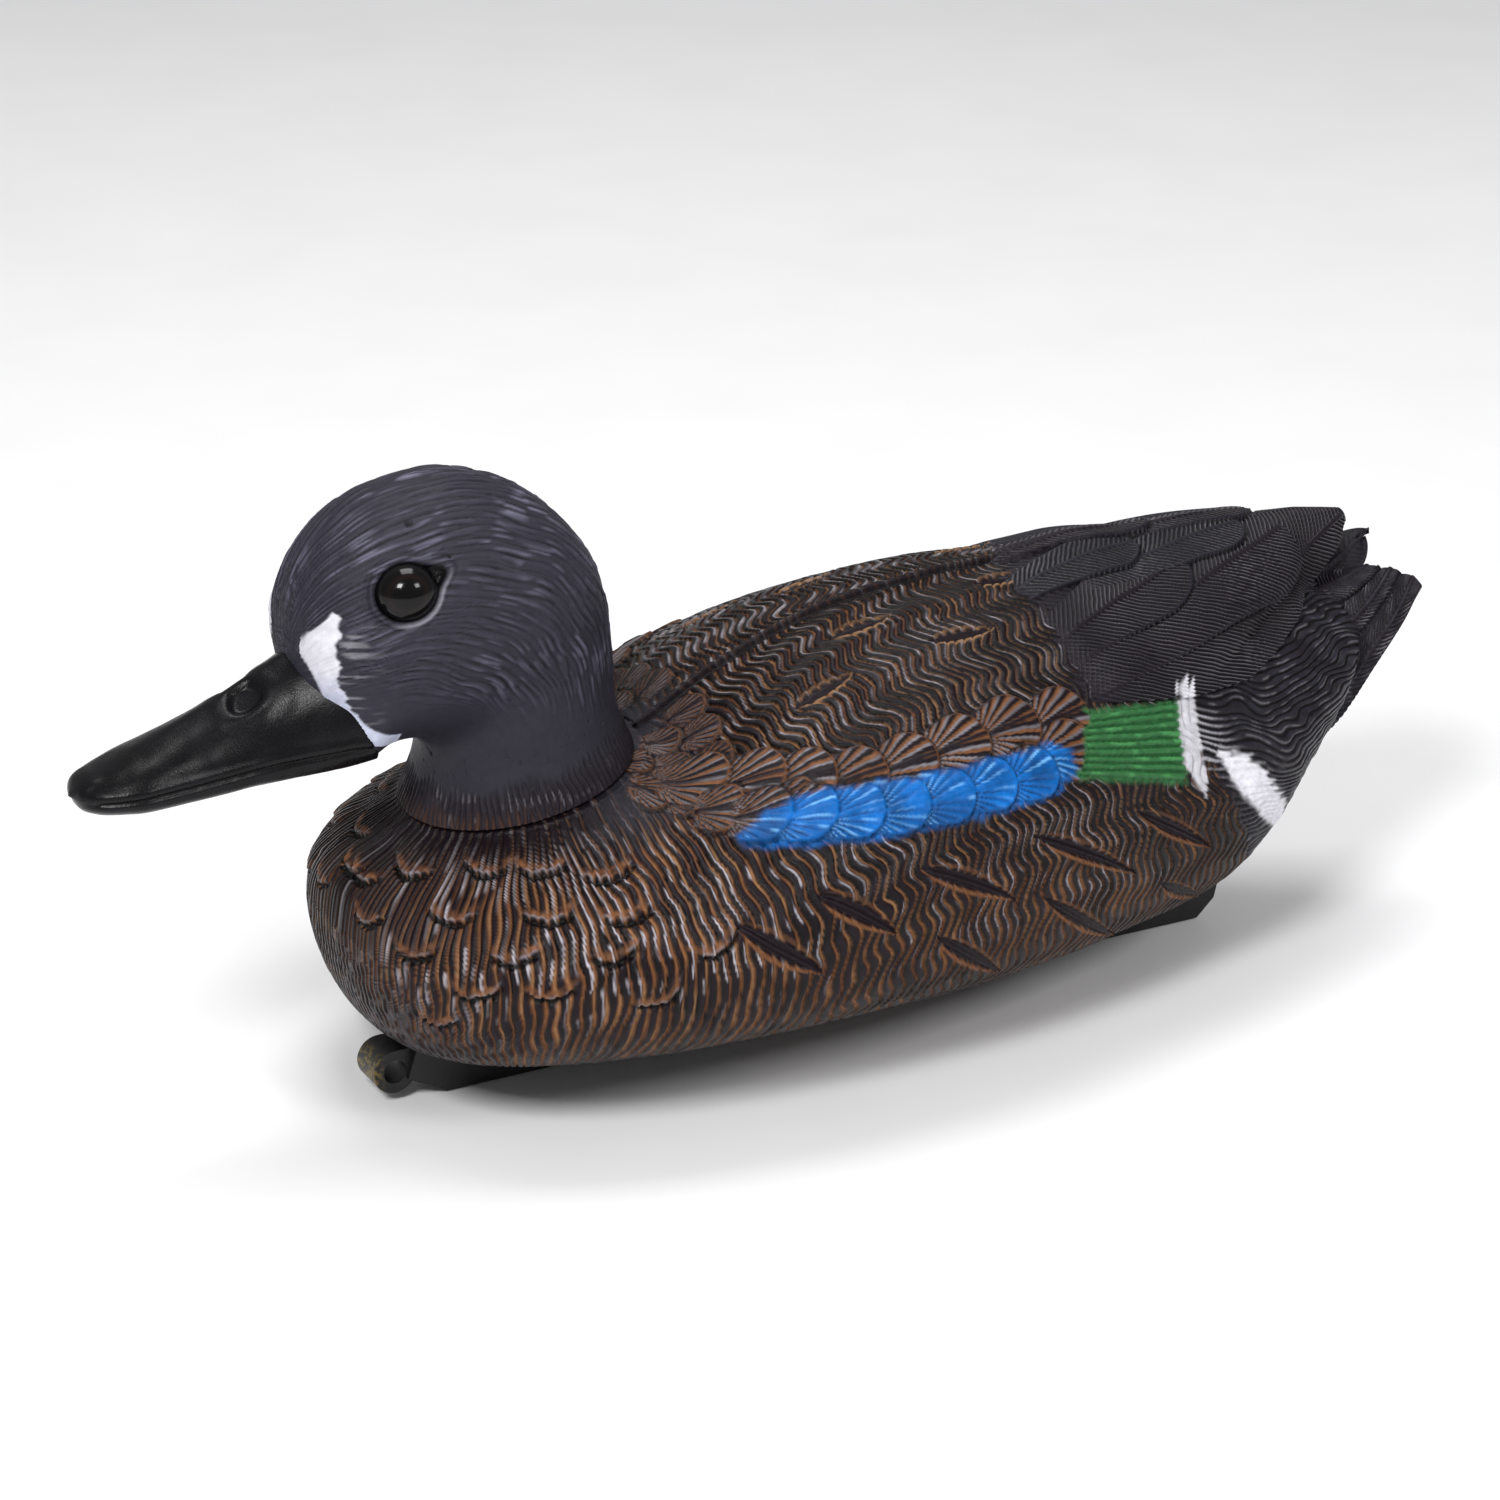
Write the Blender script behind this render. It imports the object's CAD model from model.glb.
"""Looks of the floating duck decoy: carved and painted skins, wing, tail, bill and eyes round its CAD."""

import math

import bmesh
import bpy
import numpy as np
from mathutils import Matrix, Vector


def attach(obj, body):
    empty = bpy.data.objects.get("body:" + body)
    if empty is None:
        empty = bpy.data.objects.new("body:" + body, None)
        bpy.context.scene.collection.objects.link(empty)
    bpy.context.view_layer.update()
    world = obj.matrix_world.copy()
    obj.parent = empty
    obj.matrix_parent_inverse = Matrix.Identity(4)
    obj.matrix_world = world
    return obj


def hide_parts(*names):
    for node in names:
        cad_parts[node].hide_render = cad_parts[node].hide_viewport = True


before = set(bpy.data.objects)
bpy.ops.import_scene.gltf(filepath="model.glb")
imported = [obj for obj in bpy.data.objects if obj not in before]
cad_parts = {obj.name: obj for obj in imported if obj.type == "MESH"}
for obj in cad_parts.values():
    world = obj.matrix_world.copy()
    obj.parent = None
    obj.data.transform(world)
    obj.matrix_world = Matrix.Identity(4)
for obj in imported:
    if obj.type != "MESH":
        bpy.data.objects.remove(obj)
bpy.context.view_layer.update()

# All sizes below are millimetres; FINE is the spacing of the carved meshes' points.
MM = 0.001
FINE = 0.36

# Trunk sections: x, belly z, ridge z, half width, z widest, belly power, ridge power.
BREAST_TIP = (-101.8, 38.0)
TAIL_END = (149, 70)
TRUNK = [
    (-100.3, 27, 47.5, 17, 38, 2, 2), (-96.5, 19, 52.5, 28.5, 38, 2.1, 2),
    (-89.5, 14, 57, 39, 39, 2.2, 2), (-78, 11.5, 61.5, 48.5, 40, 2.3, 2),
    (-60, 10.5, 66, 56, 41, 2.35, 2), (-38, 10, 70, 60.5, 42.5, 2.4, 2),
    (-12, 10, 83.4, 62.5, 44, 2.45, 2), (18, 10, 92.5, 61.5, 45, 2.5, 1.9),
    (46, 10, 95, 57, 46, 2.5, 1.75), (72, 10.8, 95, 50, 47, 2.45, 1.6),
    (94, 13, 92, 45, 49, 2.3, 1.5), (110, 18.5, 88, 38.5, 53, 2.1, 1.5),
    (122, 28.5, 84.5, 32.5, 59, 1.9, 1.5), (132, 40.5, 80.5, 27.5, 63.5, 1.8, 1.5),
    (139, 50, 78.3, 21, 66.5, 1.8, 1.6), (145, 60, 76.8, 12.5, 69, 1.8, 1.6),
]
# Folded wings: the form that the plate follows, and the smaller core inside it.
WING_FORM = [
    (60, 62, 89, 36, 69, 2, 1.6), (78, 65, 93, 36, 70, 2, 1.55), (98, 70, 94, 29.5, 75, 2, 1.5),
    (118, 77, 93, 18.5, 81, 2, 1.5), (135, 84, 91.5, 9, 87, 2, 1.6),
]
WING_FORM_TIP = (144, 89.5)
WING_CORE = [
    (64, 64, 86, 31, 70, 2, 1.6), (78, 66, 89.5, 32, 71, 2, 1.55), (98, 71.5, 90.5, 25, 76, 2, 1.5),
    (116, 77.5, 90, 14.5, 81.5, 2, 1.5), (130, 83.5, 89, 6.5, 86, 2, 1.6),
]
WING_CORE_TIP = (138, 87.5)
# Skull and bill sections, from front to back and from the face to the tip.
FOREHEAD_TIP = (-111, 105)
SKULL = [
    (-109.5, 95, 115.5, 9.5, 105, 2, 2), (-105, 86.5, 124, 15.5, 105, 2, 2),
    (-98, 82.5, 130.3, 19.5, 106, 2.1, 2), (-88, 81, 134.5, 22.5, 107, 2.2, 2),
    (-76, 81, 135.6, 24, 108, 2.2, 2), (-64, 84, 132.6, 24, 108, 2.1, 2),
    (-54, 88, 126.4, 21, 107, 2, 2), (-46, 94, 117, 14.5, 105.5, 2, 2),
]
NAPE_TIP = (-41.5, 105)
BILL = [
    (-94, 80, 108, 18, 89, 2.4, 2), (-103, 78.6, 105.5, 16, 87.5, 2.6, 1.9),
    (-112, 77.8, 101.5, 12.8, 85, 2.6, 1.8), (-122, 77.2, 96.7, 10.8, 83, 2.6, 1.8),
    (-133, 76.6, 91.8, 10.5, 81.5, 2.6, 2), (-143, 76.2, 88, 10.5, 81, 2.6, 2.2),
    (-150, 76.4, 85.6, 8.8, 80.8, 2.4, 2.2), (-154.8, 77.6, 83.4, 5.4, 80.6, 2.2, 2.2),
]
BILL_TIP = (-156.6, 80.6)
# Neck sections: x, z, half length, half width, tilt in degrees.
NECK = [
    (-59.5, 67.8, 26, 26, 12), (-60, 74, 22.6, 23.2, 10), (-60, 82, 20.6, 21, 6),
    (-61, 93, 21.5, 21.5, 2), (-64, 106, 23, 23, 0),
]
# Neck seam: its middle, the swivel axis through it and its radius; left eye: middle and outward direction.
SEAM = np.array([-59.5, 0.0, 67.5])
TILT = math.radians(12)
AXIS = np.array([-math.sin(TILT), 0.0, math.cos(TILT)])
COLLAR_R = 26.0
EYE = np.array([-91.0, -17.4, 117.6])
EYE_OUT = np.array([-0.30, -0.92, 0.25]) / math.sqrt(0.09 + 0.8464 + 0.0625)
# The bill meets the face on a slanted line, seen from the side: from the forehead down and back.
SEAM_BILL = (-105.0, 0.0, 96.5)
SEAM_BILL_NORMAL = (0.90, 0.0, 0.436)

# Wing plate: where it starts and ends, the height its sections turn about, where it becomes a point.
PLATE_START, PLATE_END = 46.0, 147.6
PLATE_HUB_Z = 60.0
PLATE_POINTED_FROM = 122
# Carved lines: the radius they turn on round the breast, and their spacing on the body and the rump.
BREAST_TURN_R = 56
LINE_PITCH = 2.35
STRAND_PITCH = 1.7
# Head: voxel that joins its parts, rounds of evening for all of it and for the jaw.
JOIN_VOXEL = 1.25
EVEN_ROUNDS, JAW_ROUNDS = 12, 70
# Spread of the noise textures' values.
NOISE_SPAN = (0.3, 0.7)


def ink(code):
    """Linear colour of a hex code."""
    raw = np.array([int(code[i:i + 2], 16) for i in (1, 3, 5)]) / 255
    return np.where(raw <= 0.04045, raw / 12.92, ((raw + 0.055) / 1.055) ** 2.4)


DARK = ink("#180f15")
SLATE = ink("#2f2e37")
BARK = ink("#7b5032")
TAN = ink("#9a7350")
CHARCOAL = ink("#1a151c")
PALE = ink("#8c8a93")
GLEAM = ink("#bfbac2")
WHITE = ink("#eceaf2")
BLUE = ink("#0a64b4")
GREEN = ink("#3a7746")
BLACK = ink("#0b0a0b")
BLUE_CREST = ink("#7cc0f5")
GREEN_GROOVE = ink("#1d4d25")
GREEN_CREST = ink("#5aa863")
WING_LINE = ink("#080708")
MARK_SHADE = ink("#9aa2bd")
BILL_BLACK = ink("#0b0b0d")
EYE_BLACK = ink("#060506")
EYE_BROWN = ink("#1d1410")


# ---- numbers ----

def step(low, high, v):
    """Smooth 0 to 1 as v goes from low to high."""
    u = np.clip((v - low) / (high - low), 0, 1)
    return u * u * (3 - 2 * u)


def bell(v, width):
    """1 where v is 0, falling off to both sides."""
    return np.exp(-(v / width) ** 2)


def noise(seed, *axes):
    """Smooth value noise from -1 to 1 over one to three axes."""
    table = np.random.default_rng(seed).uniform(-1, 1, 8192)
    primes = (73856093, 19349663, 83492791)
    whole = [np.floor(a).astype(np.int64) for a in axes]
    part = [a - w for a, w in zip(axes, whole)]
    part = [p * p * (3 - 2 * p) for p in part]
    total = 0.0
    for corner in range(2 ** len(axes)):
        key, weight = 0, 1.0
        for k in range(len(axes)):
            bit = corner >> k & 1
            key = key ^ ((whole[k] + bit) * primes[k])
            weight = weight * (part[k] if bit else 1 - part[k])
        total = total + table[key & 8191] * weight
    return total


def pchip(knots, values, at):
    """Shape-preserving cubic through the knots."""
    gap = np.diff(knots)
    slope = np.diff(values) / gap
    d = np.zeros(len(knots))
    d[0], d[-1] = slope[0], slope[-1]
    for i in range(1, len(knots) - 1):
        if slope[i - 1] * slope[i] > 0:
            a, b = 2 * gap[i] + gap[i - 1], gap[i] + 2 * gap[i - 1]
            d[i] = (a + b) / (a / slope[i - 1] + b / slope[i])
    i = np.clip(np.searchsorted(knots, at) - 1, 0, len(gap) - 1)
    h = gap[i]
    u = (at - knots[i]) / h
    return ((1 + 2 * u) * (1 - u) ** 2 * values[i] + u * (1 - u) ** 2 * h * d[i]
            + u * u * (3 - 2 * u) * values[i + 1] + u * u * (u - 1) * h * d[i + 1])


def ring(th, belly, ridge, half, wide, pb, pr):
    """Left half section: (y, z) at angle th from the ridge (0) to the belly (pi)."""
    up = np.cos(th)
    power = np.where(up > 0, pr, pb)
    y = -half * np.abs(np.sin(th)) ** (2 / power)
    z = wide + np.where(up > 0, ridge - wide, wide - belly) * np.sign(up) * np.abs(up) ** (2 / power)
    return y, z


def unit(v):
    """Vectors of length 1."""
    return v / np.maximum(np.linalg.norm(v, axis=-1, keepdims=True), 1e-9)


class Skin:
    """A surface with a height and paint at each of its points."""

    def __init__(self, points, normals, spread, side):
        self.p, self.n, self.t, self.side = points, normals, spread, side
        self.x, self.y, self.z = points[..., 0], points[..., 1], points[..., 2]
        self.h = np.zeros(self.x.shape)
        self.c = np.zeros(points.shape)
        self.r = np.full(self.x.shape, 0.5)
        self.gleam = np.zeros(self.x.shape)

    def paint(self, colour, amount, where=...):
        """Moves the paint towards a colour, by an amount from 0 to 1 at each point."""
        self.c[where] += (colour - self.c[where]) * amount[..., None]


def loft(stations, first, last, spacing, half_columns, bias=1.0):
    """A skin through superellipse sections, rows evenly spaced over the surface."""
    rows = [tuple(map(float, s)) for s in stations]
    if first:
        rows.insert(0, (first[0], first[1], first[1], 0.0, first[1]) + rows[0][5:])
    if last:
        rows.append((last[0], last[1], last[1], 0.0, last[1]) + rows[-1][5:])
    table = np.array(rows)
    chord = np.concatenate([[0], np.cumsum(np.sqrt((np.diff(table[:, :4], axis=0) ** 2).sum(1)))])
    dense = np.linspace(0, chord[-1], 4000)
    curves = [pchip(chord, table[:, k], dense) for k in range(7)]
    moved = np.abs(np.diff(np.array(curves[:4]), axis=1))
    reach = np.concatenate([[0], np.cumsum(np.hypot(moved[0], moved[1:].max(0)))])
    count = int(reach[-1] / spacing)
    at = np.interp(np.linspace(reach[-1] / count * 0.5, reach[-1] * (1 - 0.5 / count), count), reach, dense)
    x, belly, ridge, half, wide, pb, pr = [pchip(chord, table[:, k], at) for k in range(7)]
    share = np.linspace(0, 1, half_columns) ** bias
    th = np.linspace(0, math.pi, 721)
    points = np.zeros((count, 2 * half_columns - 2, 3))
    spread = np.zeros(points.shape[:2])
    for i in range(count):
        y, z = ring(th, belly[i], ridge[i], half[i], wide[i], pb[i], pr[i])
        arc = np.concatenate([[0], np.cumsum(np.hypot(np.diff(y), np.diff(z)))])
        want = share * arc[-1]
        ys, zs = np.interp(want, arc, y), np.interp(want, arc, z)
        points[i, :, 0] = x[i]
        points[i, :, 1] = np.concatenate([ys, -ys[-2:0:-1]])
        points[i, :, 2] = np.concatenate([zs, zs[-2:0:-1]])
        spread[i] = np.concatenate([want, want[-2:0:-1]])
    side = np.ones(points.shape[:2])
    side[:, :half_columns] = -1
    skin = Skin(points, grid_normals(points), spread, side)
    skin.poles = [(first and (first[0], 0, first[1])) or (x[0], 0, wide[0]),
                  (last and (last[0], 0, last[1])) or (x[-1], 0, wide[-1])]
    skin.full = 2 * spread[:, half_columns - 1]
    return skin


def grid_normals(points):
    """Outward normals of a closed loft."""
    across = np.roll(points, -1, 1) - np.roll(points, 1, 1)
    along = np.gradient(points, axis=0)
    n = unit(np.cross(across, along))
    centre = points.mean(1, keepdims=True)
    return n * np.sign((n * (points - centre)).sum(-1).mean())


def new_object(name, data):
    """An object of its own in the scene."""
    obj = bpy.data.objects.new(name, data)
    bpy.context.scene.collection.objects.link(obj)
    return obj


def values_of(items, key, width=1, kind=float):
    """One property of a mesh's items as an array."""
    values = np.zeros(len(items) * width, kind)
    items.foreach_get(key, values)
    return values.reshape(-1, width) if width > 1 else values


def change_mesh(mesh, change):
    """Runs one change on a mesh as a bmesh."""
    work = bmesh.new()
    work.from_mesh(mesh)
    change(work)
    work.to_mesh(mesh)
    work.free()


def patch_normals(points):
    """Normals of an open grid, on one side of it."""
    return unit(np.cross(np.gradient(points, axis=0), np.gradient(points, axis=1)))


def finish_mesh(name, verts, loops, starts, uv, colour, rough, material):
    """One mesh object from flat arrays, in millimetres, with its faces turned outwards."""
    mesh = bpy.data.meshes.new(name)
    mesh.vertices.add(len(verts))
    mesh.vertices.foreach_set("co", (verts * MM).astype(np.float32).ravel())
    mesh.loops.add(len(loops))
    mesh.loops.foreach_set("vertex_index", loops.astype(np.int32))
    mesh.polygons.add(len(starts))
    mesh.polygons.foreach_set("loop_start", starts.astype(np.int32))
    mesh.update(calc_edges=True)
    mesh.validate()
    mesh.shade_smooth()
    mesh.uv_layers.new(name="OFBake").data.foreach_set("uv", uv.astype(np.float32).ravel())
    put_paint(mesh, colour, rough)
    mesh.materials.append(material)
    change_mesh(mesh, face_out)
    return new_object(name, mesh)


def put_paint(mesh, colour, rough):
    """Paint and its added roughness, as attributes of the points."""
    layer = mesh.attributes.new("paint", "FLOAT_COLOR", "POINT")
    rgba = np.concatenate([colour, np.ones((len(colour), 1))], 1)
    layer.data.foreach_set("color", rgba.astype(np.float32).ravel())
    layer = mesh.attributes.new("rough", "FLOAT", "POINT")
    layer.data.foreach_set("value", rough.astype(np.float32))


def face_out(work):
    """Turns all faces of a closed bmesh outwards."""
    if work.calc_volume(signed=True) < 0:
        bmesh.ops.reverse_faces(work, faces=work.faces)


def closed_grid(name, skin, material):
    """A tube-like skin closed by a fan at each end."""
    rows, cols = skin.x.shape
    moved = skin.p + skin.n * skin.h[..., None]
    verts = np.concatenate([moved.reshape(-1, 3), np.array(skin.poles, float)])
    i, j = np.meshgrid(np.arange(rows - 1), np.arange(cols), indexing="ij")
    k = (j + 1) % cols
    quads = np.stack([i * cols + j, i * cols + k, (i + 1) * cols + k, (i + 1) * cols + j], -1).reshape(-1, 4)
    uq = np.stack([j, j + 1, j + 1, j], -1).ravel() / cols
    vq = np.stack([i, i, i + 1, i + 1], -1).ravel() / rows
    a = np.arange(cols)
    b = (a + 1) % cols
    top, end = rows * cols, rows * cols + 1
    front = np.stack([np.full(cols, top), b, a], -1)
    back = np.stack([np.full(cols, end), (rows - 1) * cols + a, (rows - 1) * cols + b], -1)
    loops = np.concatenate([quads.ravel(), front.ravel(), back.ravel()])
    starts = np.concatenate([np.arange(len(quads)) * 4, len(quads) * 4 + np.arange(2 * cols) * 3])
    fan_u = np.stack([a + 0.5, a + 1, a], -1).ravel() / cols
    fan_w = np.stack([a + 0.5, a, a + 1], -1).ravel() / cols
    ends = np.tile([0.0, 0.0, 0.0], cols), np.tile([1.0, 1 - 1 / rows, 1 - 1 / rows], cols)
    uv = np.stack([np.concatenate([uq, fan_u, fan_w]), np.concatenate([vq, *ends])], -1)
    colour = np.concatenate([skin.c.reshape(-1, 3), skin.c[0].mean(0)[None], skin.c[-1].mean(0)[None]])
    rough = np.concatenate([skin.r.ravel(), [skin.r[0].mean()], [skin.r[-1].mean()]])
    return finish_mesh(name, verts, loops, starts, uv, colour, rough, material)


# ---- materials ----

def remap(tree, value, ends, to=(0.0, 1.0)):
    """Value carried from one pair of ends to another."""
    node = tree.nodes.new("ShaderNodeMapRange")
    for key, number in zip(("From Min", "From Max", "To Min", "To Max"), (*ends, *to)):
        node.inputs[key].default_value = number
    tree.links.new(value, node.inputs["Value"])
    return node.outputs["Result"]


def noise_node(tree, coords, scale, detail):
    """Noise texture over the given coordinates."""
    node = tree.nodes.new("ShaderNodeTexNoise")
    node.inputs["Scale"].default_value = scale
    node.inputs["Detail"].default_value = detail
    tree.links.new(coords, node.inputs["Vector"])
    return node.outputs["Fac"]


def combine(tree, operation, first, second):
    """A sum or product of two values."""
    node = tree.nodes.new("ShaderNodeMath")
    node.operation = operation
    tree.links.new(first, node.inputs[0])
    tree.links.new(second, node.inputs[1])
    return node.outputs["Value"]


def attribute(tree, name, output):
    """A value carried by the mesh's points."""
    node = tree.nodes.new("ShaderNodeAttribute")
    node.attribute_name = name
    return node.outputs[output]


def node_material(name, base, variation, rough, bump, scale, specular=0.4):
    """Surface broken up by noise, with fine relief; with no base colour it shows the points' paint."""
    mat = bpy.data.materials.new(name)
    mat.use_nodes = True
    tree = mat.node_tree
    shader = tree.nodes["Principled BSDF"]
    coords = tree.nodes.new("ShaderNodeTexCoord").outputs["Object"]
    coarse, fine = noise_node(tree, coords, scale, 6), noise_node(tree, coords, scale * 7, 4)
    mix = tree.nodes.new("ShaderNodeVectorMath")
    mix.operation = "SCALE"
    tree.links.new(remap(tree, coarse, NOISE_SPAN, (1 - variation, 1 + variation)), mix.inputs["Scale"])
    tree.links.new(mix.outputs["Vector"], shader.inputs["Base Color"])
    sheen = remap(tree, fine, NOISE_SPAN, (rough - 0.08, rough + 0.08))
    if base is None:
        tree.links.new(attribute(tree, "paint", "Color"), mix.inputs[0])
        sheen = combine(tree, "ADD", sheen, attribute(tree, "rough", "Fac"))
    else:
        mix.inputs[0].default_value = base
    tree.links.new(sheen, shader.inputs["Roughness"])
    relief = tree.nodes.new("ShaderNodeBump")
    relief.inputs["Strength"].default_value = bump
    relief.inputs["Distance"].default_value = 0.0003
    tree.links.new(fine, relief.inputs["Height"])
    tree.links.new(relief.outputs["Normal"], shader.inputs["Normal"])
    shader.inputs["Specular IOR Level"].default_value = specular
    return mat


def overspray(mat, ahead_of, colour):
    """Speckled second colour on what lies in front of one x, in object coordinates."""
    tree = mat.node_tree
    shader = tree.nodes["Principled BSDF"]
    coords = tree.nodes.new("ShaderNodeTexCoord").outputs["Object"]
    split = tree.nodes.new("ShaderNodeSeparateXYZ")
    tree.links.new(coords, split.inputs[0])
    front = remap(tree, split.outputs["X"], (ahead_of, ahead_of - 0.0025))
    grain = remap(tree, noise_node(tree, coords, 900, 2), (0.45, 0.6))
    blend = tree.nodes.new("ShaderNodeMixRGB")
    tree.links.new(combine(tree, "MULTIPLY", front, grain), blend.inputs["Fac"])
    tree.links.new(shader.inputs["Base Color"].links[0].from_socket, blend.inputs["Color1"])
    blend.inputs["Color2"].default_value = (*colour, 1)
    tree.links.new(blend.outputs["Color"], shader.inputs["Base Color"])


# ---- relief and paint ----

# Breast feathers as points (x, y, z), flank slots as ends (x, z), back slots as ends (x, t).
SCALLOPS = [
    (-91, -13, 55), (-79, -26, 58), (-70, -33, 58.5), (-58, -41, 59), (-100, -12, 46), (-89, -30, 51),
    (-73, -43, 53), (-58, -50, 53), (-96, -27, 43), (-81.5, -44, 46), (-63.5, -53, 46.5), (-88, -40, 38),
    (-76, -49.5, 39), (-55, -57, 37), (-93, -33, 30), (-98, -3, 52), (-42, -55, 45),
]
FLANK_SLOTS = [
    ((-39, 51), (-21, 38)), ((-21, 54), (-4, 43)), ((3, 55.5), (25, 44)), ((6, 40), (26, 24.5)),
    ((33, 42), (62, 21)), ((31, 56), (59.5, 40)), ((61, 53.5), (83, 39)), ((69, 34), (88, 22.5)),
]
BACK_SLOTS = [
    ((-9, 26.5), (6, 25.5)), ((7, 12.5), (22, 13)), ((25, 24), (41, 24.5)), ((44, 9), (60, 8.5)),
]

def strokes(phase, width):
    """1 in the groove at each whole phase, 0 on the flat ridge between."""
    gap = np.abs(phase - np.round(phase))
    return 1 - step(width * 0.45, width, gap)


def chart_spot(skin, x, z):
    """How far round from the ridge the left side lies at x and z."""
    i = int(np.abs(skin.x[:, 0] - x).argmin())
    left = slice(0, skin.x.shape[1] // 2)
    j = int(np.abs(skin.z[i, left] - z).argmin())
    return skin.t[i, j]


def feather(s, tip, angle, length, width, lift, pitch, colour, groove, rim, fan=0.0,
            sharp=1.0, edge=0.9, bend=0.0, depth=0.4, glint=0.35):
    """One feather laid on the skin, over what is already there: tip and angle in the (x, t) chart.

    pitch is the spacing of straight barbs; fan, where given, is how many spread from the root to a radian.
    """
    ca, sa = math.cos(angle), math.sin(angle)
    reach = length + width
    near = (np.abs(s.x - tip[0]) < reach) & (np.abs(s.t - tip[1]) < reach)
    dx, dt = s.x[near] - tip[0], s.t[near] - tip[1]
    a = dx * ca + dt * sa
    b = -dx * sa + dt * ca - bend * a * a
    wob = 0.35 * noise(11, s.x[near] / 3 + tip[0], s.t[near] / 3)
    round_len = width * sharp
    nose = np.clip((a + round_len) / round_len, 0, None)
    body = np.clip((-a - round_len) / max(length - round_len, 1), 0, 1)
    half = width * (1 - 0.35 * body ** 1.5)
    inside = (1 - np.sqrt(nose ** 2 + (b / half) ** 2)) * width + wob * 0.3
    inside = np.where(a < -length, -1, inside)
    # Shaft and barbs.
    off = np.abs(b)
    if fan:
        bearing = np.arctan2(off, np.maximum(a + length, 0.4))
        phase = bearing * fan + 0.10 * noise(5, a * 0.4, b * 0.4 + tip[0])
    else:
        phase = (a - off * 1.1) / pitch + 0.16 * noise(6, a * 0.4, b * 0.4 + tip[0])
    phase = phase + tip[0] * 0.37
    clear = step(0.25, 0.9, off) * step(0.15, 0.9, inside)
    cut = strokes(phase, 0.21) * clear
    patchy = 0.7 + 0.5 * noise(12, s.x[near] / 12, s.t[near] / 12 + tip[0])
    crest = strokes(phase + 0.3, 0.17) * clear * patchy
    rib = (1 - step(0.25, 0.65, off)) * step(-length, -length * 0.75, a)
    grow = step(-length, -length * 0.1, a)
    height = lift * (0.35 + 0.65 * grow) - depth * cut + 0.3 * rib * step(0, 1.5, inside)
    mask = step(-0.15, 0.25, inside) * step(-length, -length * 0.82, a)
    s.h[near] += (height - s.h[near]) * mask
    s.paint(colour, mask, near)
    s.paint(groove, mask * cut * 0.9, near)
    s.gleam[near] += (crest - s.gleam[near]) * mask
    s.paint(GLEAM, mask * crest * glint, near)
    s.paint(BLACK, mask * strokes(phase - 0.24, 0.12) * clear * 0.7, near)
    if rim is not None:
        brim = (1 - step(0.15, edge * 0.7, inside)) * step(-0.05, 0.1, inside)
        s.paint(rim, mask * brim * 0.8 * step(-length * 0.6, -length * 0.2, a), near)
    line = (1 - step(0.0, 0.55, np.abs(inside + 0.35))) * step(-length * 0.75, -length * 0.4, a)
    s.h[near] -= 0.25 * line
    s.paint(BLACK, line * 0.75, near)


def slot(s, start, end, width, depth, shine):
    """A leaf-shaped sunk mark with a raised shaft, between two chart points."""
    d = np.array([end[0] - start[0], end[1] - start[1]])
    length = float(np.hypot(*d))
    d /= length
    dx, dt = s.x - start[0], s.t - start[1]
    near = (np.abs(dx) < length + 4) & (np.abs(dt) < length + 4)
    dx, dt = dx[near], dt[near]
    a, b = dx * d[0] + dt * d[1], -dx * d[1] + dt * d[0]
    u = np.clip(a / length, 0, 1)
    half = width * np.sin(math.pi * u) ** 0.7 * (1 - 0.35 * u) + 0.05
    out = (np.abs(b) / half - 1) * width
    out = np.where((a < 0) | (a > length), 3, out)
    pit = 1 - step(-0.9, 0.1, out)
    s.h[near] += (-depth - s.h[near]) * pit
    s.paint(DARK, pit, near)
    fine = strokes((a + np.abs(b) * 1.2) / 1.1, 0.25) * pit * (b > 0)
    s.h[near] -= 0.15 * fine
    shaft = (1 - step(0.15, 0.6, np.abs(b - 0.25))) * step(0, 0.12, u) * (u < 1)
    s.h[near] += 0.75 * depth * shaft
    lip = (1 - step(0.15, 0.8, np.abs(out - 0.3))) * step(0.02, 0.2, u) * (u < 0.98)
    s.paint(shine, lip * 0.7 * (0.4 + 0.6 * (b > 0)), near)
    s.h[near] += 0.12 * lip


def scallop(s, centre, width, lift):
    """A rounded feather tip on the breast, raised above what lies under it."""
    for flip in (1, -1):
        c = np.array([centre[0], centre[1] * flip, centre[2]], float)
        gap = np.linalg.norm(s.p - c, axis=-1)
        i, j = np.unravel_index(int(gap.argmin()), gap.shape)
        if s.t[i, j] * 2 > s.full[i] * 0.93:
            continue
        c, n = s.p[i, j], s.n[i, j]
        out = c - SEAM
        down = unit(out - AXIS * (out @ AXIS) + np.array([0, 0, -30.0]))
        down = unit(down - n * (down @ n))
        wide = np.cross(n, down)
        near = gap < 17
        rel = s.p[near] - c
        u, v = rel @ wide, rel @ down
        wob = 0.5 * noise(21, u * 0.5 + centre[0], v * 0.2 + centre[2])
        edge = v + 0.09 * u * u + wob
        across = 1 - step(width * 0.55, width, np.abs(u + 0.8 * noise(23, v / 2, centre[0])))
        above = across * step(-10, -0.6, edge) * (1 - step(-0.1, 0.35, edge))
        s.h[near] += lift * above
        under = across * (1 - step(0.2, 1.0, np.abs(edge - 0.9)))
        s.h[near] -= 0.7 * under
        s.paint(BLACK, under * 0.95, near)
        brim = across * step(-2.6, -1.0, edge) * (1 - step(-0.4, 0.1, edge))
        s.paint(BARK, np.clip(brim * (0.45 + 0.6 * noise(22, u * 0.7, v + centre[0])), 0, 0.9), near)
        shine = bell(edge + 0.35, 0.3) * step(-0.3, 0.5, noise(24, u / 1.6, v + centre[0]))
        s.paint(PALE, across * shine * 0.5, near)


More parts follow.
